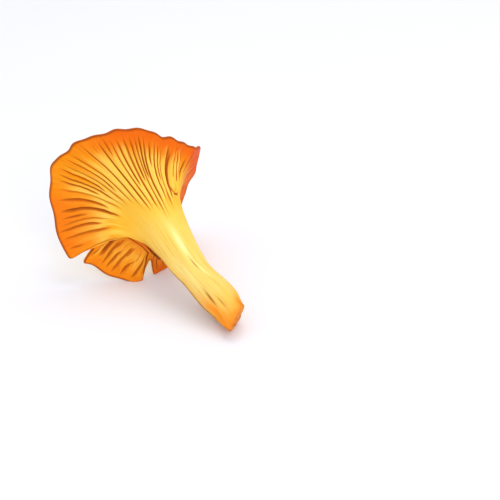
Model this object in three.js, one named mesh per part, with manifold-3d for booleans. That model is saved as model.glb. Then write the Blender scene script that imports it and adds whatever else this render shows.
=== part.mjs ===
import * as THREE from "three";
import Module from "manifold-3d";

const wasm = await Module();
wasm.setup();

// A chanterelle lying on its side on a flat surface. Millimetres and degrees.
// The stem's line starts in the middle of the cut end. "Height" is the distance along it, "angle" goes
// round it: 0 is the upper side, 90 the -Y side, 180 the side turned to the surface, 270 the +Y side.
const TILT = 24;               // climb of the stem's line towards the cap
const END_HEIGHT = 5.4;        // middle of the cut end above the surface
// The stem is cut with two slants: how much each climbs towards the upper side and towards -Y, and its
// height on the stem's line.
const CUT_FACE = [0, -0.72, -3.5];
const CUT_BEVEL = [-2.0, 1.5, -11.2];
const CUT_RADIUS = 4.9;        // stem radius at the cut
const STEM_SAG = 0.9;          // how far the stem bows towards the surface
const STEM_SWAY = 0.3;         // how far it bows towards -Y
const BOW_LENGTH = 43.5;       // length of stem and neck over which it bows
// Bends of the stem to the side: height, length, shift towards -Y.
const STEM_BENDS = [[5, 12, -1.15], [25, 9, 0.55]];
const FLARE_START = 28;        // height where the neck begins to widen into the cap
const NECK_RADIUS = 6.35;
const STEM_RADII = [[-9, 4.4], [0, 4.95], [9, 6.2], [19, 5.5], [28, 6.35]];
const FUNNEL_FLOOR = 46.5;     // height of the middle of the hollow in the cap
const RIM_THICKNESS = 1.1;
const FLESH_THICKNESS = 3.6;
const FLESH_LIMIT = 0.5;       // share of the underside above which the flesh is a thin sheet
const LANES = 32;              // false gills that leave the neck, most of them fork once
const LANE_COLUMNS = 6;
const RIDGE_RISE = 1.1;
const STEM_RING = LANES * 3;

// The wavy margin of the cap: angle, reach from the stem's line, height, slope from the stem's line.
const RIM = [
  [-75, 28.0, 63.5, 72],
  [-60, 25.3, 60.2, 74],
  [-45, 23.5, 60.1, 76],
  [-25, 22.7, 61.6, 76],
  [-5, 24.6, 63.6, 74],
  [12, 25.4, 67.2, 72],
  [30, 27.0, 69.3, 70],
  [48, 27.3, 72.4, 65],
  [65, 26.6, 75.3, 59],
  [78, 26.5, 76.6, 57],
  [90, 27.8, 74.2, 62],
  [104, 30.6, 66.8, 74],
  [114, 32.8, 60.2, 86],
  [123, 33.5, 53.2, 96],
  [134, 31.0, 50.5, 104],
  [143, 29.2, 45.2, 114],
  [151, 26.8, 41.2, 122],
  [160, 24.6, 37.2, 130],
  [176, 23.0, 37.5, 132],
  [190, 24.2, 38.5, 126],
  [204, 26.8, 42.5, 116],
  [216, 29.3, 51.0, 104],
  [228, 31.3, 59.5, 92],
  [240, 30.8, 63.2, 84],
  [254, 30.2, 64.2, 76],
  [270, 29.7, 64.7, 72],
];
// Notches in the margin: angle, half width, depth, and how square: 2 is a soft dip, 6 a blunt slot.
const NOTCHES = [[128, 3.2, 7.5, 4], [170.9, 5.7, 6.6, 6]];
// Raised pleats of the underside: angle, half width, rise, share of the way to the margin where it starts.
const PLEATS = [[315, 11, 1.2, 0.43], [149, 11, 0.8, 0.46]];
// Dents along the stem: angle, height, half width, half length, depth.
const DENTS = [[185, -2, 45, 4, -0.9], [57, 7, 16, 6, 0.45], [84, 1, 22, 5, 0.35], [34, 2.5, 12, 4, 0.3],
  [12, 20, 14, 6, 0.4], [205, 14, 30, 8, 0.5], [265, 20, 26, 7, 0.45], [32, 24, 14, 6, -0.35]];

const radians = (angle) => angle * Math.PI / 180;
const mix = (from, to, share) => from + (to - from) * share;

function ease(from, to, value) {
  const share = Math.min(1, Math.max(0, (value - from) / (to - from)));
  return share * share * (3 - 2 * share);
}

function turnBetween(angle, other) {
  return ((angle - other + 180) % 360 + 360) % 360 - 180;
}

// Smooth closed curve through column `column` of the margin's stations.
function rimValue(angle, column) {
  const count = RIM.length;
  const at = ((angle - RIM[0][0]) % 360 + 360) % 360 + RIM[0][0];
  const station = (index) => {
    const wraps = Math.floor(index / count);
    const row = RIM[index - wraps * count];
    return [row[0] + 360 * wraps, row[column]];
  };
  let index = 0;
  while (station(index + 1)[0] <= at) {
    index += 1;
  }
  const [before, start, end, after] = [-1, 0, 1, 2].map((step) => station(index + step));
  const length = end[0] - start[0];
  const startSlope = (end[1] - before[1]) / (end[0] - before[0]);
  const endSlope = (after[1] - start[1]) / (after[0] - start[0]);
  const share = (at - start[0]) / length;
  const square = share * share;
  const cube = square * share;
  return (2 * cube - 3 * square + 1) * start[1] + (cube - 2 * square + share) * length * startSlope
    + (3 * square - 2 * cube) * end[1] + (cube - square) * length * endSlope;
}

// Angle of a place between the lanes. Lanes crowd where the cap folds, are uneven, and wander on their
// way to the margin.
function laneAngle(lane, share) {
  const turn = 2 * Math.PI * lane / LANES;
  const even = 360 * lane / LANES - 12.5;
  const crowding = 17.9 * Math.sin(turn + 1.54) + 9.7 * Math.sin(2 * turn - 2.59)
    + 1.7 * Math.sin(3 * turn - 1.2) + 1.6 * Math.sin(4 * turn + 1.07);
  const unevenness = 0.8 * Math.sin(9 * turn + 2) + 0.6 * Math.sin(13 * turn + 1);
  const wander = 2.5 * Math.sin(2.2 * share + 1.5) * Math.sin(2 * turn + 1)
    + 0.9 * Math.sin(7 * share) * Math.sin(7 * turn);
  return even + crowding + unevenness + wander;
}

// A number from 0 to 1 that is each lane's own.
function laneChance(lane, salt) {
  const wave = Math.sin((lane % LANES) * 12.9898 + salt) * 437.58;
  return wave - Math.floor(wave);
}

// 0 in the deepest grooves, 1 on the crest of a false gill.
function ridge(lane, share) {
  const index = Math.floor(lane + 1e-9);
  const across = lane - index;
  const depth = 0.45 + 0.55 * laneChance(across < 0.5 ? index : index + 1, 4.4);
  const crest = 1 - depth * (1 - Math.pow(Math.max(0, Math.sin(Math.PI * across)), 0.5));
  const fork = 0.45 + 0.5 * laneChance(index, 78.233);
  const split = ease(fork, fork + 0.16, share) * Math.exp(-Math.pow((across - 0.5) / 0.11, 2));
  return crest * (1 - 0.75 * split);
}

// Strength of the false gills: none on the stem, none on the narrow smooth band along the margin.
function ridgeStrength(lane, angle, share) {
  const index = Math.floor(lane + 1e-9);
  const start = 0.21 + 0.28 * ease(0, 130, Math.abs(turnBetween(angle, 20)))
    + 0.14 * (laneChance(index, 9.7) - 0.5);
  const stop = 0.84 + 0.03 * ease(25, 60, Math.abs(turnBetween(angle, 0)))
    + 0.06 * (laneChance(index, 5.3) - 0.5);
  return ease(start, start + 0.17, share) * (1 - ease(stop, stop + 0.12, share));
}

// A pleat has a round end towards the neck and a groove round it, and fades towards the margin.
function pleats(angle, share) {
  const fade = 1 - ease(0.65, 0.95, share);
  return PLEATS.reduce((sum, [middle, half, rise, start]) => {
    const away = Math.hypot(turnBetween(angle, middle) / half, Math.max(0, (start - share) / 0.08 + 1));
    const groove = 0.5 * Math.exp(-Math.pow((away - 1.25) / 0.22, 2));
    return sum + fade * (rise * Math.exp(-Math.pow(away, 6)) - groove);
  }, 0);
}

// Underside in the half plane at an angle: radius, height and the direction that points out of it.
function underside(angle, share) {
  const slope = radians(rimValue(angle, 3));
  const ripple = 0.25 * Math.sin(radians(9 * angle) + 1) + 0.2 * Math.sin(radians(14 * angle) + 2.2)
    + 0.2 * Math.sin(radians(23 * angle));
  const reach = rimValue(angle, 1);
  const height = rimValue(angle, 2);
  const low = ease(120, 137, (angle % 360 + 360) % 360) * (1 - ease(205, 245, (angle % 360 + 360) % 360));
  const span = Math.hypot(reach - NECK_RADIUS, height - FLARE_START);
  const rise = span * mix(0.5, 0.8, low);
  const run = span * mix(0.42, 0.46, low);
  const radii = [NECK_RADIUS, NECK_RADIUS + rise * 0.1, reach - run * Math.sin(slope), reach];
  const heights = [FLARE_START, FLARE_START + rise, height - run * Math.cos(slope), height];
  const bite = NOTCHES.reduce((sum, [middle, half, depth, square]) =>
    sum + depth * Math.exp(-Math.pow(Math.abs(turnBetween(angle, middle)) / half, square)), 0);
  const along = share - (0.85 * bite - ripple) / span * ease(0.55, 1, share);
  const rest = 1 - along;
  const weights = [rest ** 3, 3 * along * rest * rest, 3 * along * along * rest, along ** 3];
  const slopes = [-3 * rest * rest, 3 * rest * rest - 6 * along * rest,
    6 * along * rest - 3 * along * along, 3 * along * along];
  const total = (values, factors) => values.reduce((sum, value, index) => sum + value * factors[index], 0);
  const radiusStep = total(radii, slopes);
  const heightStep = total(heights, slopes);
  const size = Math.hypot(radiusStep, heightStep);
  const wave = (0.14 * Math.sin(radians(11 * angle) + 2) + 0.1 * Math.sin(radians(17 * angle)))
    * ease(0.6, 1, share);
  return {
    radius: total(radii, weights) + wave * heightStep / size,
    height: total(heights, weights) - wave * radiusStep / size,
    outRadius: heightStep / size,
    outHeight: -radiusStep / size,
  };
}

// From radius, angle and height to the lying position.
function place(radius, angle, height) {
  const bow = Math.sin(Math.PI * Math.min(1, Math.max(0, height / BOW_LENGTH)));
  const up = radius * Math.cos(radians(angle)) - STEM_SAG * bow;
  const side = STEM_BENDS.reduce((sum, [middle, length, shift]) =>
    sum + shift * Math.exp(-Math.pow((height - middle) / length, 2)),
  radius * Math.sin(radians(angle)) + STEM_SWAY * bow);
  const climb = radians(TILT);
  return [
    up * Math.sin(climb) - height * Math.cos(climb),
    -side,
    END_HEIGHT + up * Math.cos(climb) + height * Math.sin(climb),
  ];
}

function undersidePoint(lane, share) {
  const angle = laneAngle(lane, share);
  const spot = underside(angle, share);
  const relief = RIDGE_RISE * ridgeStrength(lane, angle, share) * ridge(lane, share) + pleats(angle, share);
  return place(spot.radius + relief * spot.outRadius, angle, spot.height + relief * spot.outHeight);
}

function fleshThickness(share) {
  return mix(RIM_THICKNESS, FLESH_THICKNESS, Math.pow((1 - share) / (1 - FLESH_LIMIT), 1.3));
}

function upperSpot(angle, share) {
  const spot = underside(angle, share);
  const thickness = fleshThickness(share);
  return {
    radius: spot.radius - thickness * spot.outRadius,
    height: spot.height - thickness * spot.outHeight,
    inRadius: spot.outHeight,
    inHeight: -spot.outRadius,
  };
}

function upperPoint(lane, share) {
  const angle = laneAngle(lane, share);
  const spot = upperSpot(angle, share);
  return place(spot.radius, angle, spot.height);
}

function edgePoint(lane) {
  const angle = laneAngle(lane, 1);
  const spot = underside(angle, 1);
  const half = RIM_THICKNESS / 2;
  return place(spot.radius - half * spot.outRadius, angle, spot.height - half * spot.outHeight);
}

// Curve from the thin sheet of the cap down to the middle of the hollow's floor.
function hollowCurve(angle, share) {
  const spot = upperSpot(angle, FLESH_LIMIT);
  const square = share * share;
  const cube = square * share;
  const start = 2 * cube - 3 * square + 1;
  const away = cube - 2 * square + share;
  const end = 3 * square - 2 * cube;
  const arrive = cube - square;
  const pull = spot.radius;
  return {
    radius: start * spot.radius + away * pull * spot.inRadius - arrive * pull,
    height: start * spot.height + away * pull * spot.inHeight + end * FUNNEL_FLOOR,
  };
}

// Folds of the cap die out towards the middle of the hollow.
function hollowPoint(lane, share) {
  const angle = laneAngle(lane, FLESH_LIMIT);
  const own = hollowCurve(angle, share);
  const near = [-60, -40, -20, 0, 20, 40, 60].map((turn) => hollowCurve(angle + turn, share));
  const mean = (key) => near.reduce((sum, curve) => sum + curve[key], 0) / near.length;
  return place(Math.max(0, mix(own.radius, mean("radius"), share)), angle,
    mix(own.height, mean("height"), share));
}

function stemRadius(angle, height) {
  let index = 1;
  while (index < STEM_RADII.length - 1 && STEM_RADII[index][0] < height) {
    index += 1;
  }
  const [from, to] = [STEM_RADII[index - 1], STEM_RADII[index]];
  let radius = mix(from[1], to[1], ease(from[0], to[0], height));
  for (const [middle, at, half, length, depth] of DENTS) {
    const across = turnBetween(angle, middle) / half;
    const along = (height - at) / length;
    radius -= depth * Math.exp(-across * across - along * along);
  }
  return radius + 0.12 * Math.sin(radians(5 * angle) + 0.2 * height) * (1 - ease(20, 28, height));
}

// Height of the cut: the higher of its two slants, with the edge between them rounded.
function cutHeight(radius, angle) {
  const up = radius * Math.cos(radians(angle));
  const side = radius * Math.sin(radians(angle));
  const [face, bevel] = [CUT_FACE, CUT_BEVEL].map(([climb, lean, middle]) =>
    climb * up + lean * side + middle);
  return Math.log(Math.exp(2 * face) + Math.exp(2 * bevel)) / 2;
}

function stemPoint(lane, share) {
  const angle = laneAngle(lane, 0);
  const height = mix(cutHeight(CUT_RADIUS, angle), FLARE_START, share);
  return place(stemRadius(angle, height), angle, height);
}

function cutPoint(lane, share) {
  const angle = laneAngle(lane, 0);
  const radius = share * (stemRadius(angle, cutHeight(CUT_RADIUS, angle)) - 0.25);
  return place(radius, angle, cutHeight(radius, angle) + 0.35 * (1 - share * share) - 0.15);
}

function ring(count, pointAt) {
  return Array.from({ length: count }, (unused, index) => pointAt(LANES * index / count));
}

// Rings from the middle of the cut end, over stem, underside and margin, to the middle of the hollow.
function rings() {
  const fine = LANES * LANE_COLUMNS;
  const list = [ring(1, () => cutPoint(0, 0))];
  for (const share of [0.5, 1]) {
    list.push(ring(STEM_RING, (lane) => cutPoint(lane, share)));
  }
  for (const share of [0.015, 0.07, 0.15, 0.23, 0.31, 0.39, 0.48, 0.58, 0.68, 0.79, 0.9, 1]) {
    list.push(ring(STEM_RING, (lane) => stemPoint(lane, share)));
  }
  for (const share of [0.07, 0.14, 0.21, 0.28, 0.34, 0.4, 0.46, 0.52, 0.58, 0.64, 0.7, 0.76, 0.82, 0.87,
    0.92, 0.97]) {
    list.push(ring(fine, (lane) => undersidePoint(lane, share)));
  }
  list.push(ring(fine, edgePoint));
  list.push(ring(fine, (lane) => upperPoint(lane, 0.97)));
  for (const share of [0.9, 0.82, 0.73, 0.62]) {
    list.push(ring(fine / 2, (lane) => upperPoint(lane, share)));
  }
  for (const share of [0, 0.25, 0.5, 0.75]) {
    list.push(ring(STEM_RING, (lane) => hollowPoint(lane, share)));
  }
  list.push(ring(1, () => hollowPoint(0, 1)));
  return list;
}

// Triangles between two neighbouring rings. One ring has a whole multiple of the other's points.
function stitch(first, firstCount, second, secondCount) {
  const triangles = [];
  const coarse = Math.min(firstCount, secondCount);
  const firstStep = firstCount / coarse;
  const secondStep = secondCount / coarse;
  for (let index = 0; index < coarse; index += 1) {
    const half = Math.ceil(Math.max(firstStep, secondStep) / 2);
    const a = (step) => first + (index * firstStep + step) % firstCount;
    const b = (step) => second + (index * secondStep + step) % secondCount;
    if (firstStep === 1 && secondStep === 1) {
      if (firstCount > 1) {
        triangles.push([a(0), b(0), a(1)], [a(1), b(0), b(1)]);
      }
    } else if (firstStep === 1) {
      for (let step = 0; step < secondStep; step += 1) {
        triangles.push([a(step < half ? 0 : 1), b(step), b(step + 1)]);
      }
      if (firstCount > 1) {
        triangles.push([a(0), b(half), a(1)]);
      }
    } else {
      for (let step = 0; step < firstStep; step += 1) {
        triangles.push([a(step), b(step < half ? 0 : 1), a(step + 1)]);
      }
      if (secondCount > 1) {
        triangles.push([a(half), b(0), b(1)]);
      }
    }
  }
  return triangles;
}

function grownBody() {
  const list = rings();
  const points = list.flat();
  const triangles = [];
  let start = 0;
  for (let index = 0; index + 1 < list.length; index += 1) {
    const next = start + list[index].length;
    triangles.push(...stitch(start, list[index].length, next, list[index + 1].length));
    start = next;
  }
  const mesh = new wasm.Mesh({
    numProp: 3,
    vertProperties: new Float32Array(points.flat()),
    triVerts: new Uint32Array(triangles.flat()),
  });
  return new wasm.Manifold(mesh);
}

// Everything that would sink into the surface is pressed flat there.
function layFlat(body) {
  const ground = wasm.Manifold.cube([400, 400, 50], true).translate([0, 0, -25]);
  return body.subtract(ground);
}

function toGeometry(body) {
  const box = body.boundingBox();
  const centred = body.translate([
    -(box.min[0] + box.max[0]) / 2,
    -(box.min[1] + box.max[1]) / 2,
    -box.min[2],
  ]);
  const mesh = centred.getMesh();
  const geometry = new THREE.BufferGeometry();
  geometry.setAttribute("position", new THREE.BufferAttribute(mesh.vertProperties, 3));
  geometry.setIndex(new THREE.BufferAttribute(mesh.triVerts, 1));
  geometry.computeVertexNormals();
  return geometry;
}

function chanterelle() {
  const material = new THREE.MeshStandardMaterial({ color: 0xf0a63a, roughness: 0.55, metalness: 0 });
  const mesh = new THREE.Mesh(toGeometry(layFlat(grownBody())), material);
  mesh.name = "chanterelle";
  return mesh;
}

const part = new THREE.Group();
part.name = "chanterelle_mushroom";
part.add(chanterelle());
export default part;
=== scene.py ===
import math

import bpy
import numpy as np
from mathutils import Matrix, Vector


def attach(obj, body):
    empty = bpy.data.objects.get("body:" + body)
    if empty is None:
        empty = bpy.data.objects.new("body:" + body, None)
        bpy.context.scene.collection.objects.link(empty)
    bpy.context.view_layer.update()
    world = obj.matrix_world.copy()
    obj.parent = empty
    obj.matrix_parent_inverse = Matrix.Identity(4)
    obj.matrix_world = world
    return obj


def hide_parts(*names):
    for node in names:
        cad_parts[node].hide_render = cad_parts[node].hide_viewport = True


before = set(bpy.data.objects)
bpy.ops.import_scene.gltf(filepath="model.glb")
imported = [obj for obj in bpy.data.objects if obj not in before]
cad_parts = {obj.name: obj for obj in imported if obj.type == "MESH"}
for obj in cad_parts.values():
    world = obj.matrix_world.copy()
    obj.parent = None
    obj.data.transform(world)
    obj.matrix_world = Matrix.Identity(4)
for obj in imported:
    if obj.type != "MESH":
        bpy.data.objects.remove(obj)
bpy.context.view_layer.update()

MM = 0.001

# The grown body, in millimetres and degrees, as in the part's source. "Height" is the distance along the
# stem's line from the cut end, "angle" goes round it: 0 is the upper side, 180 faces the floor. On the cap,
# "share" is the share of the way from the neck to the margin.
TILT = 24
STEM_LINE_START = np.array([31.17, 0.27, 0.0])
END_HEIGHT = 5.4
CUT_FACE = [0, -0.72, -3.5]
CUT_BEVEL = [-2.0, 1.5, -11.2]
CUT_RADIUS = 4.9
STEM_SAG = 0.9
STEM_SWAY = 0.3
BOW_LENGTH = 43.5
STEM_BENDS = [[5, 12, -1.15], [25, 9, 0.55]]
FLARE_START = 28
NECK_RADIUS = 6.35
STEM_RADII = [[-9, 4.4], [0, 4.95], [9, 6.2], [19, 5.5], [28, 6.35]]
FUNNEL_FLOOR = 46.5
RIM_THICKNESS = 1.1
FLESH_THICKNESS = 3.6
FLESH_LIMIT = 0.5
# One lane for each false gill: how many, the angle where they start, how high the false gills rise.
LANES = 32
LANES_START = -12.5
RIDGE_RISE = 1.1

# Margin of the cap: angle, reach from the stem's line, height, slope from the stem's line.
RIM = np.array([
    [-75, 28.0, 63.5, 72],
    [-60, 25.3, 60.2, 74],
    [-45, 23.5, 60.1, 76],
    [-25, 22.7, 61.6, 76],
    [-5, 24.6, 63.6, 74],
    [12, 25.4, 67.2, 72],
    [30, 27.0, 69.3, 70],
    [48, 27.3, 72.4, 65],
    [65, 26.6, 75.3, 59],
    [78, 26.5, 76.6, 57],
    [90, 27.8, 74.2, 62],
    [104, 30.6, 66.8, 74],
    [114, 32.8, 60.2, 86],
    [123, 33.5, 53.2, 96],
    [134, 31.0, 50.5, 104],
    [143, 29.2, 45.2, 114],
    [151, 26.8, 41.2, 122],
    [160, 24.6, 37.2, 130],
    [176, 23.0, 37.5, 132],
    [190, 24.2, 38.5, 126],
    [204, 26.8, 42.5, 116],
    [216, 29.3, 51.0, 104],
    [228, 31.3, 59.5, 92],
    [240, 30.8, 63.2, 84],
    [254, 30.2, 64.2, 76],
    [270, 29.7, 64.7, 72],
], dtype=float)
# Notches in the margin: angle, half width, depth, and how square: 2 is a soft dip, 6 a blunt slot.
NOTCHES = [[128, 3.2, 7.5, 4], [170.9, 5.7, 6.6, 6]]
# Raised pleats of the underside: angle, half width, rise, share at the start.
PLEATS = [[318.5, 9.2, 1.1, 0.46], [149, 11, 0.8, 0.46]]
# The groove round a pleat: half widths from its middle, depth.
PLEAT_BORDER = 1.25
PLEAT_GROOVE = 0.5
# Lines of painted shade, cut in as marks, and painted highlight streaks on the right pleat: angle at the
# start, angle at the stop, share at the start, share at the stop, half width, strength.
PLEAT_SHADE_LINES = [
    [324.5, 322.5, 0.60, 0.93, 0.8, 0.7],
    [318, 320, 0.56, 0.88, 0.9, 0.8],
    [312.5, 315.5, 0.58, 0.90, 0.8, 0.7],
]
PLEAT_HIGHLIGHTS = [
    [327, 325.5, 0.52, 0.90, 1.3, 0.6],
    [321.5, 321.5, 0.52, 0.90, 1.3, 0.7],
    [315, 317.5, 0.52, 0.92, 1.3, 0.8],
    [332.5, 333.5, 0.50, 0.90, 1.8, 0.9],
]
# Dents along the stem: angle, height, half width, half length, depth.
DENTS = [[185, -2, 45, 4, -0.9], [57, 7, 16, 6, 0.45], [84, 1, 22, 5, 0.35], [34, 2.5, 12, 4, 0.3],
         [12, 20, 14, 6, 0.4], [205, 14, 30, 8, 0.5], [265, 20, 26, 7, 0.45], [32, 24, 14, 6, -0.35]]

# Soft patches of the skin: angle, height, half width, half length, strength, turn in degrees a millimetre.
ORANGE_STAINS = [
    [80, 3, 19, 6, 0.95, 0], [80, -4, 40, 4, 0.5, 0], [-50, 10, 8, 9, 0.5, 0], [-32, 0, 16, 3.6, 0.95, 0],
    [118, 13, 14, 12, 0.35, 0], [8, 12, 3, 5, 0.25, 0], [-22, 18, 4, 6, 0.3, 0], [160, 8, 12, 9, 0.4, 0],
    [215, 14, 9, 8, 0.35, 0], [262, 6, 8, 7, 0.4, 0], [300, 17, 7, 8, 0.35, 0],
]
# The first is a painted highlight on the neck's upper side, the others are paler skin.
PALE_PATCHES_AND_HIGHLIGHT = [
    [15, 29, 9, 6.5, 0.9, 0.3], [6, 17, 5, 3.6, 0.8, 0], [60, 19, 16, 8, 0.35, 0], [230, 20, 14, 8, 0.4, 0],
]
BROWN_STROKES = [
    [56, 7, 4.2, 3.2, 1.0, -1.2], [35, 3.6, 3.0, 2.5, 0.7, 0.6], [15, 20.6, 2.6, 2.6, 0.9, 0.5],
    [22, 2.5, 1.5, 1.8, 0.35, 0], [-34, -0.5, 9, 2.6, 0.4, 0], [44, 14, 1.0, 3.5, 0.25, 0.5],
    [70, 12, 1.2, 4, 0.3, -0.5], [3, 25, 1.2, 4, 0.35, 0.8], [40, 25, 1.0, 5, 0.3, 0.3],
    [62, 22, 1.1, 4, 0.3, 0.3], [35, 31, 1.3, 5, 0.35, 0.2], [54, 30, 1.4, 5, 0.35, 0.2],
    [75, 31, 1.4, 4, 0.35, 0.3], [-6, 31, 1.3, 4, 0.3, 0.3], [46, 36, 1.0, 4, 0.3, 0],
    [88, 33, 1.6, 4, 0.3, 0.4], [150, 12, 2, 4, 0.5, 0.5], [200, 6, 2, 4, 0.5, -0.6],
    [255, 15, 2, 5, 0.5, 0.4], [290, 5, 2, 3, 0.4, 0],
]

# Where the low lobe of the cap hangs under the neck, and the fold in its middle.
LOBE_ANGLE = 165
LOBE_FOLD_ANGLE = 150
# Painted shade darkens the side of stem and neck that faces the floor.
FLOOR_SIDE_SHADE = 0.65

# Fine relief, millimetres. The pairs are soft waves and fine ones, both random.
VEIN_RISE = 0.06
MARK_DEPTH = 0.2
SKIN_RELIEF = (0.07, 0.02)
UPPER_RELIEF = (0.05, 0.025)
CUT_RELIEF = (0.16, 0.07)
# The cut face: its rings' shares of the way out, its dome, how far it sinks and draws in, and the stem's
# share that its rounded border takes.
CUT_RINGS = (0.12, 0.25, 0.38, 0.5, 0.62, 0.74, 0.85, 0.94, 1)
CUT_DOME = 0.35
CUT_SINK = 0.15
CUT_INSET = 0.25
CUT_BORDER = 0.012
# How far the rounded margin bulges out.
EDGE_ROUNDING = 0.55

# How fine the shown mesh is.
COLUMNS = LANES * 18
STEM_COLUMNS = LANES * 9
STEM_RINGS = 70
UNDERSIDE_RINGS = 100
EDGE_RINGS = 7
UPPER_RINGS = 34
HOLLOW_RINGS = 16
EDGE_SHARE = 0.985
# How softly the spots that touch the floor are pressed flat.
PRESS_SOFTNESS = 0.35
PRESS_SINK = PRESS_SOFTNESS / 60

# The photograph's view.
PHOTO_SIZE = 500
LENS = 85.0
SENSOR = 36.0
VIEW_AZIMUTH = 53.5
VIEW_ELEVATION = 30.0
STEM_END_PIXEL = (229.0, 315.0)
STEM_END_DEPTH = 389.6 * MM

# Lights: name, place, size in metres, power in watts.
LIGHTS = [["top", (-0.05, 0.25, 0.85), 0.7, 2.4], ["front", (0.62, -0.25, 0.50), 0.5, 1.8]]
LIGHT_TARGET = (0, 0, 0.02)
ROOM_LIGHT = 0.82

# The floor's side in metres, and how far it lies under the mushroom.
FLOOR_SIZE = 6
FLOOR_GAP = 0.02 * MM

# What the material reads at each point of the skin. The heading only serves the flush and the grain.
SHOWN_FACTS = ("course", "groove", "crest", "upper", "cut", "stain", "pale", "stroke", "shade")
FACTS = SHOWN_FACTS + ("heading",)
# How large the space of the grain's patterns is, round the body and along it.
GRAIN_ROUND = 6
GRAIN_ALONG = 5

# Colours as seen on a screen: red, green and blue, 0 to 255. First the skin from the cut end, over the neck
# at 0.5, to the margin at 1. Then the upper side from the hollow to the margin, painted paler as if lit
# from above, and the crumbs of the cut.
UNDER_TONES = [
    (0.0, (228, 126, 34)),
    (0.025, (240, 150, 48)),
    (0.06, (243, 174, 66)),
    (0.12, (245, 196, 94)),
    (0.20, (246, 208, 114)),
    (0.42, (247, 210, 112)),
    (0.56, (249, 208, 100)),
    (0.65, (248, 198, 72)),
    (0.76, (248, 182, 40)),
    (0.88, (248, 167, 22)),
    (1.0, (249, 154, 12)),
]
LIT_UPPER_TONES = [
    (0.0, (240, 205, 110)),
    (0.45, (246, 228, 140)),
    (0.80, (246, 222, 120)),
    (0.94, (245, 184, 70)),
    (1.0, (243, 150, 40)),
]
CUT_TONES = [(0.3, (186, 92, 30)), (0.5, (222, 132, 52)), (0.72, (242, 182, 104))]
PALE_AND_HIGHLIGHT_TONE = (253, 246, 172)
STAIN_TONE = (246, 146, 28)
FLUSH_AND_SHADE_TONE = (234, 88, 4)
CREST_HIGHLIGHT_TONE = (255, 216, 100)
GLINT_TONE = (255, 212, 92)
STREAK_TONE = (214, 92, 6)
GROOVE_SHADE_TONE = (196, 98, 4)
DEEP_GROOVE_SHADE_TONE = (146, 62, 2)
STROKE_TONE = (168, 96, 14)
CLEFT_SHADE_TONE = (124, 30, 0)
MARGIN_TONE = (158, 70, 10)
EDGE_TONE = (158, 70, 12)
FIBRE_TONE = (255, 232, 150)
SPECK_TONE = (214, 130, 40)
FLOOR_COLOURS = ([0.84, 0.855, 0.92, 1.0], [0.86, 0.87, 0.93, 1.0])


def radians(angle):
    return np.radians(angle)


def mix(start, end, share):
    return start + (end - start) * share


def ease(start, end, value):
    share = np.clip((value - start) / (end - start), 0, 1)
    return share * share * (3 - 2 * share)


def turn_between(angle, other):
    return (angle - other + 180) % 360 - 180


def near(angle, middle, inner, outer):
    """1 up to the inner distance from an angle, 0 from the outer one on."""
    return 1 - ease(inner, outer, np.abs(turn_between(angle, middle)))


def bell(value, width):
    return np.exp(-(value / width) ** 2)


def hermite(share):
    """Weights of a cubic from its ends: start, slope at the start, end, slope at the end."""
    square = share * share
    cube = square * share
    return 2 * cube - 3 * square + 1, cube - 2 * square + share, 3 * square - 2 * cube, cube - square


def rim_value(angle, column):
    """Smooth closed curve through one column of the margin's stations."""
    first = RIM[0, 0]
    at = (angle - first) % 360 + first
    places = np.concatenate([RIM[-2:, 0] - 360, RIM[:, 0], RIM[:3, 0] + 360])
    values = np.concatenate([RIM[-2:, column], RIM[:, column], RIM[:3, column]])
    slopes = np.zeros_like(values)
    slopes[1:-1] = (values[2:] - values[:-2]) / (places[2:] - places[:-2])
    index = np.searchsorted(places, at, side="right") - 1
    length = places[index + 1] - places[index]
    start, leave, end, arrive = hermite((at - places[index]) / length)
    return (start * values[index] + leave * length * slopes[index]
            + end * values[index + 1] + arrive * length * slopes[index + 1])


def lane_angle(lane, share):
    """Angle of a place between the lanes, which are uneven and wander on their way to the margin."""
    turn = 2 * np.pi * lane / LANES
    even = 360 * lane / LANES + LANES_START
    crowding = (17.9 * np.sin(turn + 1.54) + 9.7 * np.sin(2 * turn - 2.59) + 1.7 * np.sin(3 * turn - 1.2)
                + 1.6 * np.sin(4 * turn + 1.07))
    unevenness = 0.8 * np.sin(9 * turn + 2) + 0.6 * np.sin(13 * turn + 1)
    wander = 2.5 * np.sin(2.2 * share + 1.5) * np.sin(2 * turn + 1)
    wander = wander + 0.9 * np.sin(7 * share) * np.sin(7 * turn)
    return even + crowding + unevenness + wander


def lane_index(lane):
    return np.floor(lane + 1e-9)


def lane_chance(index, salt):
    """A number from 0 to 1 that is each lane's own."""
    wave = np.sin((index % LANES) * 12.9898 + salt) * 437.58
    return wave - np.floor(wave)


def nearer_groove(index, across):
    """A number from 0 to 1 that belongs to the nearer of a lane's two borders."""
    return np.where(across < 0.5, lane_chance(index, 4.4), lane_chance(index + 1, 4.4))


def fork_share(index):
    """Where the false gill in a lane forks."""
    return 0.45 + 0.5 * lane_chance(index, 78.233)


def ridge(lane, share):
    """0 in the deepest grooves, 1 on the crest of a false gill, which forks once."""
    index = lane_index(lane)
    across = lane - index
    depth = 0.45 + 0.55 * nearer_groove(index, across)
    crest = 1 - depth * (1 - np.maximum(0, np.sin(np.pi * across)) ** 0.4)
    fork = fork_share(index)
    split = ease(fork, fork + 0.16, share) * bell(across - 0.5, 0.085 + 0.03 * lane_chance(index, 3.1))
    return crest * (1 - 0.8 * split)


def groove_shade_lines(lane, share, radius):
    """Thin lines of painted shade, as wide everywhere, in the grooves between the lanes and where a false
    gill forks.
    """
    index = lane_index(lane)
    across = lane - index
    width = radians(lane_angle(index + 1, share) - lane_angle(index, share)) * radius
    depth = 0.5 + 0.5 * nearer_groove(index, across)
    border = depth * bell(np.minimum(across, 1 - across) * width, 0.32)
    fork = fork_share(index)
    split = ease(fork - 0.04, fork + 0.1, share) * bell((across - 0.5) * width, 0.28)
    return np.maximum(border, 0.85 * split)


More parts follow.
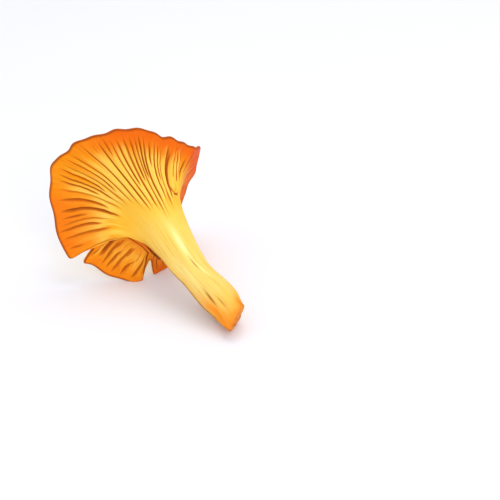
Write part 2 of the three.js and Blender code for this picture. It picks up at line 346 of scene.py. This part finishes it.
def ridge_strength(lane, angle, share):
    """None on the stem, none on the narrow smooth band along the margin."""
    index = lane_index(lane)
    late_start = ease(0, 130, np.abs(turn_between(angle, 20)))
    late_stop = ease(25, 60, np.abs(turn_between(angle, 0)))
    start = 0.21 + 0.28 * late_start + 0.14 * (lane_chance(index, 9.7) - 0.5)
    stop = 0.84 + 0.03 * late_stop + 0.06 * (lane_chance(index, 5.3) - 0.5)
    return ease(start, start + 0.17, share) * (1 - ease(stop, stop + 0.12, share))


def pleats(angle, share):
    """Lift of the pleats, the groove round each, and a line of painted shade in it. They fade towards the
    margin.
    """
    fade = 1 - ease(0.65, 0.95, share)
    lift = np.zeros_like(angle)
    groove = np.zeros_like(angle)
    shade_lines = np.zeros_like(angle)
    for middle, half, rise, start in PLEATS:
        across = turn_between(angle, middle)
        away = np.hypot(across / half, np.maximum(0, (start - share) / 0.08 + 1))
        lift += fade * rise * np.exp(-away ** 6)
        groove += fade * bell(away - PLEAT_BORDER, 0.22)
        shade_lines += (1 - ease(0.78, 0.95, share)) * bell(away - PLEAT_BORDER, 0.14)
    return lift, groove, shade_lines


def pleat_marks(marks, angle, share):
    """Thin marks that run along the right pleat, 0 to 1, for the lines of painted shade and the painted
    highlight streaks.
    """
    total = np.zeros_like(angle)
    for first, last, start, stop, half, strength in marks:
        at = first + (last - first) * (share - start) / (stop - start)
        along = ease(start - 0.02, start + 0.05, share) * (1 - ease(stop - 0.02, stop + 0.06, share))
        total += strength * bell(turn_between(angle, at), half) * along
    return total


def off_the_pleat(angle, share):
    """0 on the right pleat, where the painted shade of the false gills' grooves stops."""
    return ease(10, 13, np.abs(turn_between(angle, PLEATS[0][0])) + 40 * np.maximum(0, 0.48 - share))


def lobe_clefts(lane, angle, share):
    """Narrow extra clefts in the folds of the low lobe."""
    wave = np.cos(4 * np.pi * lane + 1.6 * np.sin(7 * share + 2 * lane_index(lane)))
    along = ease(0.45, 0.55, share) * (1 - ease(0.82, 0.93, share))
    return np.maximum(0, (wave - 0.86) / 0.14) * near(angle, LOBE_FOLD_ANGLE, 16, 26) * along


def bezier(ends, along):
    """Place and slope on a cubic Bezier curve, in one coordinate."""
    rest = 1 - along
    weights = [rest ** 3, 3 * along * rest * rest, 3 * along * along * rest, along ** 3]
    slopes = [-3 * rest * rest, 3 * rest * rest - 6 * along * rest, 6 * along * rest - 3 * along * along,
              3 * along * along]
    return (sum(value * weight for value, weight in zip(ends, weights)),
            sum(value * slope for value, slope in zip(ends, slopes)))


def underside(angle, share):
    """Radius, height and outward direction of the underside in the half plane at an angle."""
    reach = rim_value(angle, 1)
    height = rim_value(angle, 2)
    slope = radians(rim_value(angle, 3))
    round_angle = angle % 360
    low = ease(120, 137, round_angle) * (1 - ease(205, 245, round_angle))
    span = np.hypot(reach - NECK_RADIUS, height - FLARE_START)
    rise = span * mix(0.5, 0.8, low)
    run = span * mix(0.42, 0.46, low)
    ripple = (0.25 * np.sin(radians(9 * angle) + 1) + 0.2 * np.sin(radians(14 * angle) + 2.2)
              + 0.2 * np.sin(radians(23 * angle)))
    bite = sum(depth * np.exp(-np.abs(turn_between(angle, middle) / half) ** square)
               for middle, half, depth, square in NOTCHES)
    along = share - (0.85 * bite - ripple) / span * ease(0.55, 1, share)
    radius, radius_step = bezier(
        [NECK_RADIUS, NECK_RADIUS + rise * 0.1, reach - run * np.sin(slope), reach], along)
    height, height_step = bezier(
        [FLARE_START, FLARE_START + rise, height - run * np.cos(slope), height], along)
    size = np.hypot(radius_step, height_step)
    out_radius = height_step / size
    out_height = -radius_step / size
    wave = 0.14 * np.sin(radians(11 * angle) + 2) + 0.1 * np.sin(radians(17 * angle))
    wave = wave * ease(0.6, 1, share)
    return radius + wave * out_radius, height + wave * out_height, out_radius, out_height


def place(radius, angle, height):
    """From radius, angle and height to the lying position, in millimetres."""
    bow = np.sin(np.pi * np.clip(height / BOW_LENGTH, 0, 1))
    up = radius * np.cos(radians(angle)) - STEM_SAG * bow
    side = radius * np.sin(radians(angle)) + STEM_SWAY * bow
    for middle, length, shift in STEM_BENDS:
        side = side + shift * np.exp(-((height - middle) / length) ** 2)
    climb = math.radians(TILT)
    return np.stack([
        up * math.sin(climb) - height * math.cos(climb),
        -side,
        END_HEIGHT + up * math.cos(climb) + height * math.sin(climb),
    ], axis=-1)


def stem_radius(angle, height):
    radius = np.full_like(height, STEM_RADII[0][1])
    for (low, start), (high, end) in zip(STEM_RADII, STEM_RADII[1:]):
        radius += (end - start) * ease(low, high, height)
    for middle, at, half, length, depth in DENTS:
        radius -= depth * np.exp(-(turn_between(angle, middle) / half) ** 2 - ((height - at) / length) ** 2)
    return radius + 0.12 * np.sin(radians(5 * angle) + 0.2 * height) * (1 - ease(20, 28, height))


def cut_height(radius, angle):
    """The higher of the cut's two slants, with the edge between them rounded."""
    up = radius * np.cos(radians(angle))
    side = radius * np.sin(radians(angle))
    face, bevel = [climb * up + lean * side + middle for climb, lean, middle in (CUT_FACE, CUT_BEVEL)]
    return np.log(np.exp(2 * face) + np.exp(2 * bevel)) / 2


def flesh_thickness(share):
    return mix(RIM_THICKNESS, FLESH_THICKNESS, ((1 - share) / (1 - FLESH_LIMIT)) ** 1.3)


def upper_spot(angle, share):
    radius, height, out_radius, out_height = underside(angle, share)
    thickness = flesh_thickness(share)
    return radius - thickness * out_radius, height - thickness * out_height, out_height, -out_radius


def hollow_curve(angle, share):
    """Curve from the thin sheet of the cap down to the middle of the hollow's floor."""
    radius, height, in_radius, in_height = upper_spot(angle, FLESH_LIMIT)
    start, leave, end, arrive = hermite(share)
    return (start * radius + leave * radius * in_radius - arrive * radius,
            start * height + leave * radius * in_height + end * FUNNEL_FLOOR)


def hollow_spot(angle, share):
    """Folds of the cap die out towards the middle of the hollow."""
    own_radius, own_height = hollow_curve(angle, share)
    around = [hollow_curve(angle + turn, share) for turn in range(-60, 61, 20)]
    mean_radius = sum(radius for radius, height in around) / len(around)
    mean_height = sum(height for radius, height in around) / len(around)
    return np.maximum(0, mix(own_radius, mean_radius, share)), mix(own_height, mean_height, share)


def make_waves(count, low, high, seed):
    """Seeded directions, lengths and phases for a soft random relief in space."""
    draw = np.random.default_rng(seed)
    heading = draw.normal(size=(count, 3))
    heading /= np.linalg.norm(heading, axis=1, keepdims=True)
    return heading * draw.uniform(low, high, (count, 1)), draw.uniform(0, 2 * np.pi, count)


def relief(points, waves):
    """Soft random relief between about -1 and 1 at points in millimetres."""
    steps, phases = waves
    return np.sin(points @ steps.T + phases).sum(axis=-1) / math.sqrt(len(phases) / 2)


COARSE = make_waves(14, 0.5, 1.1, 11)
FINE = make_waves(18, 1.6, 3.2, 12)


class Skin:
    """Rings of points along the body, with what the material needs to know at each of them."""

    def __init__(self):
        self.rings = []
        self.facts = []

    def add(self, points, **facts):
        self.rings.append(points)
        self.facts.append({
            name: np.broadcast_to(facts.get(name, 0), len(points)).astype(float) for name in FACTS
        })


def lanes_of(count):
    return LANES * np.arange(count) / count


def patches_at(patches, angle, height):
    """Soft round patches, 0 to 1."""
    return sum(strength * np.exp(-(turn_between(angle, middle + turn * (height - at)) / half) ** 2
                                 - ((height - at) / length) ** 2)
               for middle, at, half, length, strength, turn in patches)


def patch_facts(angle, height, darkening):
    return {"stain": patches_at(ORANGE_STAINS, angle, height),
            "pale": patches_at(PALE_PATCHES_AND_HIGHLIGHT, angle, height),
            "stroke": patches_at(BROWN_STROKES, angle, height) + darkening}


def floor_side(angle):
    """1 on the side that faces the floor."""
    return ease(97, 116, angle % 360) * (1 - ease(215, 250, angle % 360))


def roughness(points, rises):
    """Random relief in millimetres, from the rises of its soft waves and its fine ones."""
    return rises[0] * relief(points, COARSE) + rises[1] * relief(points, FINE)


def add_cut_end(skin):
    """The rough cut face, from its middle to the stem's rounded border."""
    angle = lane_angle(lanes_of(STEM_COLUMNS), 0)
    end = cut_height(CUT_RADIUS, angle)
    outer = stem_radius(angle, end) - CUT_INSET
    skin.add(place(np.zeros(1), np.zeros(1), np.full(1, CUT_FACE[2] + CUT_DOME - CUT_SINK)), cut=1)
    for share in CUT_RINGS:
        radius = share * outer
        height = cut_height(radius, angle) + CUT_DOME * (1 - share * share) - CUT_SINK
        rises = (CUT_RELIEF[0] * (1 - share ** 4), CUT_RELIEF[1])
        height = height + roughness(place(radius, angle, height), rises)
        skin.add(place(radius, angle, height), cut=1, heading=angle)


def add_stem(skin):
    """The stem, with fine fibres that die out towards the neck."""
    angle = lane_angle(lanes_of(STEM_COLUMNS), 0)
    end = cut_height(CUT_RADIUS, angle)
    for step in range(STEM_RINGS):
        share = CUT_BORDER + (1 - CUT_BORDER) * step / (STEM_RINGS - 1)
        height = mix(end, FLARE_START, share)
        radius = stem_radius(angle, height)
        fibres = 0.05 * np.sin(radians(17 * angle) + 0.5 * np.sin(0.35 * height) + 0.15 * height)
        fibres = fibres + 0.035 * np.sin(radians(31 * angle) - 0.12 * height + np.sin(0.3 * height))
        rough = fibres + roughness(place(radius, angle, height), SKIN_RELIEF)
        radius = radius + (1 - ease(0.7, 1, share)) * rough
        cut_border = 1 - ease(CUT_BORDER, 0.03, share)
        # The cut border's own browning, and painted shade on the side that faces the floor.
        darkening = 0.6 * cut_border + FLOOR_SIDE_SHADE * floor_side(angle) * ease(0, 0.15, share)
        skin.add(place(radius, angle, height), course=share, cut=0.7 * (1 - ease(0, 0.05, share)),
                 heading=angle, **patch_facts(angle, height, darkening))


def on_lobe(angle):
    """1 on the low lobe under the neck, 0 beside it."""
    return near(angle, LOBE_ANGLE, 28, 40)


def crest_highlight_of(lane, angle, share):
    """How strong the painted highlight on the false gills is. It fades before the margin, later at the top.
    """
    end = 0.53 + 0.12 * near(angle, -2, 15, 75) + 0.14 * (lane_chance(lane_index(lane), 6.6) - 0.5)
    pleated = near(angle, -45, 10, 16)
    return (1 - ease(end, end + 0.42, share)) * (1 - 0.6 * pleated) * (1 - 0.45 * on_lobe(angle))


def shade_of(angle, share):
    """Painted shade in the cleft between the neck and the lobe under it."""
    stop = 0.32 + 0.42 * np.clip(turn_between(angle, 148) / 36, 0, 1) ** 1.6
    return on_lobe(angle) * ease(0.12, 0.26, share) * (1 - ease(stop + 0.01, stop + 0.04, share))


def flush_and_shade_of(course, heading):
    """How far the skin turns from golden yellow to deep orange: the margin's own deeper orange, and painted
    shade on the low lobe, its end, the far side and the cleft under the neck.
    """
    share = course - 1
    margin = (0.1 + 0.65 * near(heading, -25, 42, 92)) * ease(0.72, 0.97, share)
    # Painted shade: the low lobe, its end, the far side and the cleft under the neck.
    lobe = near(heading, 168, 30, 42) * ease(0.15, 0.35, share) * mix(0.45, 0.2, ease(0.45, 0.8, share))
    lobe_end = 0.42 * near(heading, 182, 8, 22) * ease(0.5, 0.7, share)
    low_left = 0.42 * near(heading, 110, 8, 22) * ease(0.45, 0.75, share)
    far_side = 0.7 * near(heading, -105, 30, 55) * ease(0.3, 0.6, share)
    cleft = 0.4 * near(heading, 152, 14, 26) * ease(0.2, 0.3, share) * (1 - ease(0.36, 0.5, share))
    return np.clip(margin + lobe + lobe_end + low_left + far_side + cleft, 0, 1)


def add_underside(skin):
    """The underside from the neck to the margin, with false gills, pleats, veins and clefts."""
    lane = lanes_of(COLUMNS)
    index = lane_index(lane)
    own_rise = RIDGE_RISE * (0.85 + 0.3 * lane_chance(index, 1.7))
    for step in range(1, UNDERSIDE_RINGS + 1):
        share = EDGE_SHARE * step / UNDERSIDE_RINGS
        angle = lane_angle(lane, share)
        radius, height, out_radius, out_height = underside(angle, share)
        strength = ridge_strength(lane, angle, share)
        gill = ridge(lane, share)
        pleat, pleat_groove, pleat_shade_lines = pleats(angle, share)
        veins = np.sin(6 * np.pi * lane + 2.5 * np.sin(8 * share + 6 * lane_chance(index, 2.2)))
        clefts = lobe_clefts(lane, angle, share)
        marks = pleat_marks(PLEAT_SHADE_LINES, angle, share)
        lift = own_rise * strength * gill + pleat - PLEAT_GROOVE * pleat_groove
        lift = lift + VEIN_RISE * strength * veins - MARK_DEPTH * (clefts + marks)
        lift = lift + ease(0, 0.2, share) * roughness(place(radius, angle, height), SKIN_RELIEF)

        off_pleat = off_the_pleat(angle, share)
        # Painted shade in the grooves: thin lines, the hollows between the false gills, the pleats' lines
        # and marks, and the lobe's clefts.
        shade_lines = np.sqrt(strength) * groove_shade_lines(lane, share, radius)
        hollow_shade = 0.28 * strength * (1 - gill)
        groove_shade = [shade_lines * off_pleat, hollow_shade * off_pleat, pleat_shade_lines, marks, 0.6 * clefts]
        # Painted highlight along the false gills and along streaks on the right pleat.
        crest_highlight = strength * gill * crest_highlight_of(lane, angle, share)
        # Painted shade along the side of the neck that faces the floor.
        darkening = (FLOOR_SIDE_SHADE * floor_side(angle - 9 * ease(0, 0.15, share))
                   * (1 - ease(0.1, 0.4, share)))
        skin.add(place(radius + lift * out_radius, angle, height + lift * out_height),
                 course=1 + share, groove=np.maximum.reduce(groove_shade),
                 crest=np.maximum(crest_highlight, pleat_marks(PLEAT_HIGHLIGHTS, angle, share)),
                 shade=shade_of(angle, share), heading=angle, **patch_facts(angle, height, darkening))


def add_edge(skin):
    """The rounded margin."""
    angle = lane_angle(lanes_of(COLUMNS), EDGE_SHARE)
    radius, height, out_radius, out_height = underside(angle, EDGE_SHARE)
    half = flesh_thickness(EDGE_SHARE) / 2
    middle_radius = radius - half * out_radius
    middle_height = height - half * out_height
    for step in range(1, EDGE_RINGS + 1):
        roll = math.pi * step / (EDGE_RINGS + 1)
        out = half * math.cos(roll)
        on = EDGE_ROUNDING * math.sin(roll)
        skin.add(place(middle_radius + out * out_radius - on * out_height, angle,
                       middle_height + out * out_height + on * out_radius),
                 course=2, upper=step / (EDGE_RINGS + 1), heading=angle)


def add_upper_side(skin):
    """The cap's upper side, with half the columns from its third ring on."""
    for step in range(UPPER_RINGS):
        share = EDGE_SHARE - (EDGE_SHARE - FLESH_LIMIT) * step / UPPER_RINGS
        angle = lane_angle(lanes_of(COLUMNS if step < 2 else STEM_COLUMNS), share)
        radius, height, in_radius, in_height = upper_spot(angle, share)
        lift = roughness(place(radius, angle, height), UPPER_RELIEF)
        skin.add(place(radius - lift * in_height, angle, height + lift * in_radius),
                 course=1 + share, upper=1, heading=angle)


def add_hollow(skin):
    """The hollow of the cap, with fewer columns towards its middle."""
    for step in range(HOLLOW_RINGS):
        share = step / HOLLOW_RINGS
        thinning = 1 if share < 0.6 else 2 if share < 0.85 else 4
        angle = lane_angle(lanes_of(STEM_COLUMNS // thinning), FLESH_LIMIT)
        radius, height = hollow_spot(angle, share)
        skin.add(place(radius, angle, height), course=1 + FLESH_LIMIT * (1 - share), upper=1, heading=angle)
    radius, height = hollow_spot(np.zeros(1), 1.0)
    skin.add(place(radius, np.zeros(1), height), course=1, upper=1)


def stitch(first, first_count, second, second_count):
    """Faces between two rings. They hold as many points, or one holds a whole multiple of the other's."""
    if first_count == second_count:
        start = np.arange(first_count)
        after = (start + 1) % first_count
        corners = [first + start, second + start, second + after, first + after]
        return [tuple(face) for face in np.stack(corners, 1)]
    faces = []
    coarse = min(first_count, second_count)
    times = max(first_count, second_count) // coarse
    half = (times + 1) // 2
    for index in range(coarse):
        if first_count > second_count:
            fine = [first + (index * times + step) % first_count for step in range(times + 1)]
            ends = [second + index, second + (index + 1) % second_count]
        else:
            fine = [second + (index * times + step) % second_count for step in range(times, -1, -1)]
            ends = [first + (index + 1) % first_count, first + index]
        for step in range(times):
            faces.append((fine[step], ends[0] if step < half else ends[1], fine[step + 1]))
        if coarse > 1:
            faces.append((fine[half], ends[0], ends[1]))
    return faces


def rest_on_floor(points):
    """The softly pressed low spots: nothing reaches below the floor."""
    points = points.copy()
    height = points[:, 2]
    points[:, 2] = (height + np.sqrt(height ** 2 + PRESS_SOFTNESS ** 2)) / 2 - PRESS_SINK
    return points


def add_fact(mesh, name, values):
    attribute = mesh.attributes.new(name, "FLOAT", "POINT")
    attribute.data.foreach_set("value", np.asarray(values, dtype=np.float32))


def skin_faces(counts):
    """Faces from each ring to the next."""
    starts = np.concatenate([[0], np.cumsum(counts)])
    faces = []
    for index in range(len(counts) - 1):
        faces += stitch(int(starts[index]), counts[index], int(starts[index + 1]), counts[index + 1])
    return faces


def store_facts(mesh, skin):
    """What the material reads, with the flush, partly painted shade, and the space in which the grain is
    drawn.
    """
    facts = {name: np.concatenate([fact[name] for fact in skin.facts]) for name in FACTS}
    for name in SHOWN_FACTS:
        add_fact(mesh, name, facts[name])
    add_fact(mesh, "flush", flush_and_shade_of(facts["course"], facts["heading"]))
    turn = radians(facts["heading"])
    around = [GRAIN_ROUND * np.cos(turn), GRAIN_ROUND * np.sin(turn)]
    grain = np.stack(around + [GRAIN_ALONG * facts["course"]], 1)
    attribute = mesh.attributes.new("grain", "FLOAT_VECTOR", "POINT")
    attribute.data.foreach_set("vector", grain.astype(np.float32).ravel())


def make_mushroom():
    skin = Skin()
    for add_stretch in (add_cut_end, add_stem, add_underside, add_edge, add_upper_side, add_hollow):
        add_stretch(skin)
    points = (rest_on_floor(np.concatenate(skin.rings)) + STEM_LINE_START) * MM
    mesh = bpy.data.meshes.new("mushroom")
    mesh.from_pydata(points.tolist(), [], skin_faces([len(ring) for ring in skin.rings]))
    mesh.polygons.foreach_set("use_smooth", [True] * len(mesh.polygons))
    store_facts(mesh, skin)
    mesh.update()
    mushroom = bpy.data.objects.new("mushroom", mesh)
    bpy.context.collection.objects.link(mushroom)
    return mushroom


def tone(colour):
    """A colour seen on a screen as linear values, with full cover."""
    parts = [value / 255 for value in colour]
    return [part / 12.92 if part <= 0.04045 else ((part + 0.055) / 1.055) ** 2.4 for part in parts] + [1.0]


class Nodes:
    """Short names for building one material's nodes."""

    def __init__(self, name):
        self.material = bpy.data.materials.new(name)
        self.material.use_nodes = True
        self.tree = self.material.node_tree
        self.shader = self.tree.nodes["Principled BSDF"]

    def link(self, source, target):
        self.tree.links.new(source, target)

    def feed(self, value, target):
        """Link a socket, or set it where the value is a constant."""
        if isinstance(value, (int, float, list)):
            target.default_value = value
        else:
            self.link(value, target)

    def new(self, kind, **settings):
        node = self.tree.nodes.new(kind)
        for name, value in settings.items():
            setattr(node, name, value)
        return node

    def fact(self, name):
        return self.new("ShaderNodeAttribute", attribute_name=name).outputs["Fac"]

    def vector_fact(self, name):
        return self.new("ShaderNodeAttribute", attribute_name=name).outputs["Vector"]

    def position(self):
        return self.new("ShaderNodeTexCoord").outputs["Object"]

    def scaled(self, vector, x, y, z):
        node = self.new("ShaderNodeMapping")
        node.inputs["Scale"].default_value = (x, y, z)
        self.link(vector, node.inputs["Vector"])
        return node.outputs["Vector"]

    def noise(self, vector, scale, detail=3.0, roughness=0.55):
        node = self.new("ShaderNodeTexNoise")
        node.inputs["Scale"].default_value = scale
        node.inputs["Detail"].default_value = detail
        node.inputs["Roughness"].default_value = roughness
        self.link(vector, node.inputs["Vector"])
        return node.outputs["Fac"]

    def math(self, operation, first, second):
        node = self.new("ShaderNodeMath", operation=operation)
        for value, socket in zip((first, second), node.inputs):
            self.feed(value, socket)
        return node.outputs["Value"]

    def product(self, first, *others):
        for value in others:
            first = self.math("MULTIPLY", first, value)
        return first

    def span(self, value, low, high, start=0.0, end=1.0):
        """From start to end, softly, while the value goes from low to high."""
        node = self.new("ShaderNodeMapRange", interpolation_type="SMOOTHSTEP")
        self.link(value, node.inputs["Value"])
        for name, number in (("From Min", low), ("From Max", high), ("To Min", start), ("To Max", end)):
            node.inputs[name].default_value = number
        return node.outputs["Result"]

    def ramp(self, value, stops):
        node = self.new("ShaderNodeValToRGB")
        ramp = node.color_ramp
        for index, (position, colour) in ((0, stops[0]), (1, stops[-1])):
            ramp.elements[index].position = position
            ramp.elements[index].color = tone(colour)
        for position, colour in stops[1:-1]:
            ramp.elements.new(position).color = tone(colour)
        self.link(value, node.inputs["Fac"])
        return node.outputs["Color"]

    def blend(self, amount, first, second, mode="MIX"):
        node = self.new("ShaderNodeMix", data_type="RGBA", blend_type=mode)
        self.feed(amount, node.inputs["Factor"])
        self.feed(first, node.inputs[6])
        self.feed(second, node.inputs[7])
        return node.outputs[2]

    def bump(self, height, strength, distance, below=None):
        node = self.new("ShaderNodeBump")
        node.inputs["Strength"].default_value = strength
        node.inputs["Distance"].default_value = distance
        self.link(height, node.inputs["Height"])
        if below is not None:
            self.link(below, node.inputs["Normal"])
        return node.outputs["Normal"]


def skin_noises(nodes):
    """Grey patterns that break up the colours, even in space or drawn out along the body."""
    position = nodes.position()
    grain = nodes.vector_fact("grain")
    return {
        "patches": nodes.noise(position, 110, 3),
        "specks": nodes.noise(position, 900, 2),
        "crumbs": nodes.noise(position, 700, 4, 0.65),
        "fibres": nodes.noise(nodes.scaled(grain, 1.6, 1.6, 0.25), 1.2, 4, 0.6),
        "streaks": nodes.noise(nodes.scaled(grain, 3.2, 3.2, 0.3), 2.2, 3, 0.6),
        "glints": nodes.noise(nodes.scaled(grain, 2.3, 2.3, 0.22), 2.0, 3, 0.55),
    }


def underside_colour(nodes, fact, noise, wander):
    """Stem and underside: the skin's own tones, and layer by layer what lies over them."""
    course, flush, groove = fact["course"], fact["flush"], fact["groove"]
    # Painted highlight on the false gills.
    crest_highlights = nodes.product(
        nodes.span(fact["crest"], 0.1, 0.95, 0.0, 0.7),
        nodes.span(flush, 0.2, 0.9, 1.0, 0.3),
    )
    glints = nodes.product(
        nodes.span(course, 1.35, 1.5),
        nodes.span(course, 1.78, 1.95, 1.0, 0.0),
        nodes.span(noise["glints"], 0.42, 0.62, 0.0, 0.75),
        nodes.span(flush, 0.08, 0.3, 1.0, 0.3),
    )
    streaks = nodes.product(
        nodes.span(course, 1.62, 1.92),
        nodes.span(noise["streaks"], 0.5, 0.7, 0.0, 0.4),
    )
    colour = nodes.ramp(nodes.math("ADD", nodes.product(course, 0.5), wander), UNDER_TONES)
    for amount, layer in (
        # Paler skin, and a painted highlight on the neck.
        (fact["pale"], PALE_AND_HIGHLIGHT_TONE),
        (fact["stain"], STAIN_TONE),
        # The flush: the margin's own deeper orange, and painted shade on the lobe and the far side.
        (flush, FLUSH_AND_SHADE_TONE),
        (crest_highlights, CREST_HIGHLIGHT_TONE),
        (glints, GLINT_TONE),
        (streaks, STREAK_TONE),
        # Painted shade in the grooves, light and deep.
        (nodes.span(groove, 0.14, 0.6, 0.0, 0.92), GROOVE_SHADE_TONE),
        (nodes.span(groove, 0.55, 1.0, 0.0, 0.75), DEEP_GROOVE_SHADE_TONE),
        # Brown strokes, the cut border's browning and painted shade on the side that faces the floor.
        (fact["stroke"], STROKE_TONE),
        # Painted shade in the cleft under the neck.
        (nodes.product(fact["shade"], 0.85), CLEFT_SHADE_TONE),
        (nodes.span(course, 1.974, 1.99, 0.0, 0.65), MARGIN_TONE),
    ):
        colour = nodes.blend(amount, colour, tone(layer))
    return colour


def upper_colour(nodes, fact, wander):
    """The cap's upper side, from the hollow to the margin: its own yellow, painted paler as if lit from
    above.
    """
    way_out = nodes.math("SUBTRACT", fact["course"], 1.0)
    return nodes.ramp(nodes.math("ADD", way_out, nodes.product(wander, 2.5)), LIT_UPPER_TONES)


def flesh_colour(nodes, noise):
    fact = {name: nodes.fact(name) for name in SHOWN_FACTS + ("flush",)}
    upper = fact["upper"]
    wander = nodes.product(nodes.math("SUBTRACT", noise["patches"], 0.5), 0.10)
    colour = nodes.blend(nodes.span(upper, 0.25, 0.8), underside_colour(nodes, fact, noise, wander),
                         upper_colour(nodes, fact, wander))
    # The rounded margin's own browning.
    darkening = nodes.product(nodes.span(upper, 0.0, 0.2), nodes.span(upper, 0.4, 0.85, 0.65, 0.0))
    colour = nodes.blend(darkening, colour, tone(EDGE_TONE))
    colour = nodes.blend(fact["cut"], colour, nodes.ramp(noise["crumbs"], CUT_TONES))
    fibres = nodes.span(noise["fibres"], 0.35, 0.7, 0.0, 0.3)
    colour = nodes.blend(fibres, colour, tone(FIBRE_TONE), "MULTIPLY")
    return nodes.blend(nodes.span(noise["specks"], 0.62, 0.8, 0.0, 0.25), colour, tone(SPECK_TONE))


def flesh_material():
    nodes = Nodes("flesh")
    noise = skin_noises(nodes)
    nodes.link(flesh_colour(nodes, noise), nodes.shader.inputs["Base Color"])
    nodes.link(nodes.span(noise["patches"], 0.3, 0.7, 0.50, 0.66), nodes.shader.inputs["Roughness"])
    nodes.shader.inputs["Subsurface Weight"].default_value = 0.15
    nodes.shader.inputs["Subsurface Radius"].default_value = (1.0, 0.4, 0.12)
    nodes.shader.inputs["Subsurface Scale"].default_value = 0.001
    nodes.shader.inputs["Specular IOR Level"].default_value = 0.1
    pores = nodes.bump(noise["specks"], 0.25, 0.08 * MM)
    nodes.link(nodes.bump(noise["fibres"], 0.5, 0.14 * MM, pores), nodes.shader.inputs["Normal"])
    return nodes.material


def floor_material():
    nodes = Nodes("floor")
    mottle = nodes.noise(nodes.position(), 14, 2)
    nodes.link(nodes.blend(mottle, *FLOOR_COLOURS), nodes.shader.inputs["Base Color"])
    nodes.shader.inputs["Roughness"].default_value = 0.7
    return nodes.material


def make_floor():
    bpy.ops.mesh.primitive_plane_add(size=FLOOR_SIZE, location=(0, 0, -FLOOR_GAP))
    floor = bpy.context.object
    floor.name = "floor"
    floor.data.materials.append(floor_material())
    return floor


def aim(thing, location, target):
    thing.location = location
    thing.rotation_euler = (Vector(target) - Vector(location)).to_track_quat("-Z", "Y").to_euler()


def add_light(name, location, size, power):
    light = bpy.data.lights.new(name, "AREA")
    light.shape = "DISK"
    light.size = size
    light.energy = power
    lamp = bpy.data.objects.new(name, light)
    bpy.context.collection.objects.link(lamp)
    aim(lamp, location, LIGHT_TARGET)


def add_lights():
    world = bpy.data.worlds.new("studio")
    world.use_nodes = True
    world.node_tree.nodes["Background"].inputs["Color"].default_value = (1, 1, 1, 1)
    world.node_tree.nodes["Background"].inputs["Strength"].default_value = ROOM_LIGHT
    bpy.context.scene.world = world
    for name, location, size, power in LIGHTS:
        add_light(name, location, size, power)


def add_camera():
    azimuth = math.radians(VIEW_AZIMUTH)
    elevation = math.radians(VIEW_ELEVATION)
    right = Vector((math.cos(azimuth), math.sin(azimuth), 0))
    back = Vector((math.sin(azimuth) * math.cos(elevation), -math.cos(azimuth) * math.cos(elevation),
                   math.sin(elevation)))
    upward = back.cross(right)
    focal_pixels = LENS / SENSOR * PHOTO_SIZE
    across = (STEM_END_PIXEL[0] - PHOTO_SIZE / 2) / focal_pixels * STEM_END_DEPTH
    above = (PHOTO_SIZE / 2 - STEM_END_PIXEL[1]) / focal_pixels * STEM_END_DEPTH
    stem_end = Vector(((STEM_LINE_START + np.array([0, 0, END_HEIGHT])) * MM).tolist())
    camera_data = bpy.data.cameras.new("camera")
    camera_data.lens = LENS
    camera_data.sensor_width = SENSOR
    camera_data.clip_start = 0.01
    camera = bpy.data.objects.new("camera", camera_data)
    location = stem_end - across * right - above * upward + STEM_END_DEPTH * back
    turn = Matrix((right, upward, back)).transposed().to_4x4()
    camera.matrix_world = Matrix.Translation(location) @ turn
    bpy.context.collection.objects.link(camera)
    bpy.context.scene.camera = camera


mushroom = make_mushroom()
mushroom.data.materials.append(flesh_material())
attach(mushroom, "root")
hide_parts("chanterelle")

make_floor()
add_lights()
add_camera()
bpy.context.scene.view_settings.view_transform = "Standard"
